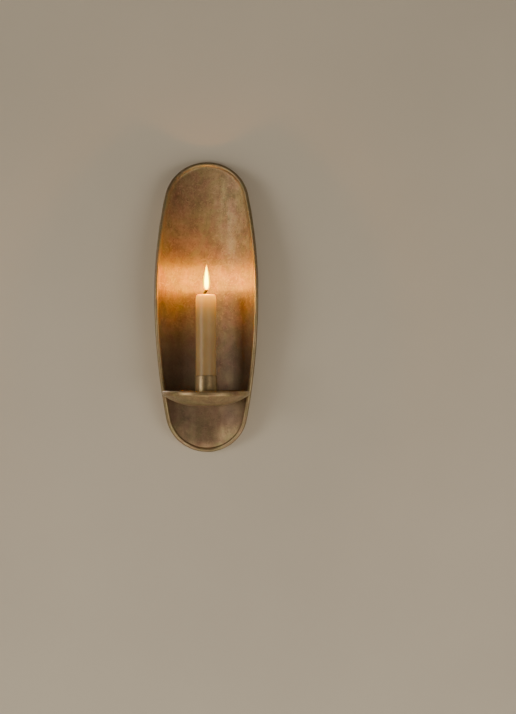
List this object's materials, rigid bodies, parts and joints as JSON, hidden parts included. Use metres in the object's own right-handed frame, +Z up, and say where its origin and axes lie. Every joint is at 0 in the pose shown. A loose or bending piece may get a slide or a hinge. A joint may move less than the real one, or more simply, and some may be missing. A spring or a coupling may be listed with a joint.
{
  "type": "wall sconce candle holder",
  "caption": "Wall sconce for a taper candle: tall oval rolled-sheet reflector with a wired edge, round drip dish, candle cup and keyhole hanger.",
  "frame": {"origin": "centre of the round hole of the keyhole in the hanger bracket, on the wall plane y = 0", "axes": "+Z up, +Y towards the wall, +X to the right seen from the front; the sconce stands out from the wall towards -Y and is symmetric about x = 0 but for the leaning wick"},
  "size_m": [0.112, 0.0985, 0.316],
  "materials": {
    "antique_brass": "satin",
    "worn_brass": "satin",
    "zinc_steel": "satin",
    "rubber": "matte",
    "wax": "satin",
    "wick": "matte"
  },
  "bodies": {
    "sconce": {"reflector_shell": "antique_brass", "rim_wire": "worn_brass", "hanger_bracket": "zinc_steel", "hanger_rivets": "worn_brass", "wall_bumpers": "rubber", "dish_saddle": "antique_brass", "dish_rivets": "worn_brass", "drip_dish": "worn_brass", "candle_cup": "worn_brass", "cup_screw": "zinc_steel", "cup_washer": "zinc_steel"},
    "candle": {"candle": "wax", "wick": "wick"}
  },
  "joints": [
    {"name": "candle_lift", "type": "slide", "parent": "sconce", "child": "candle", "axis": [0, 0, 1], "range_m": [0, 0.27]}
  ]
}
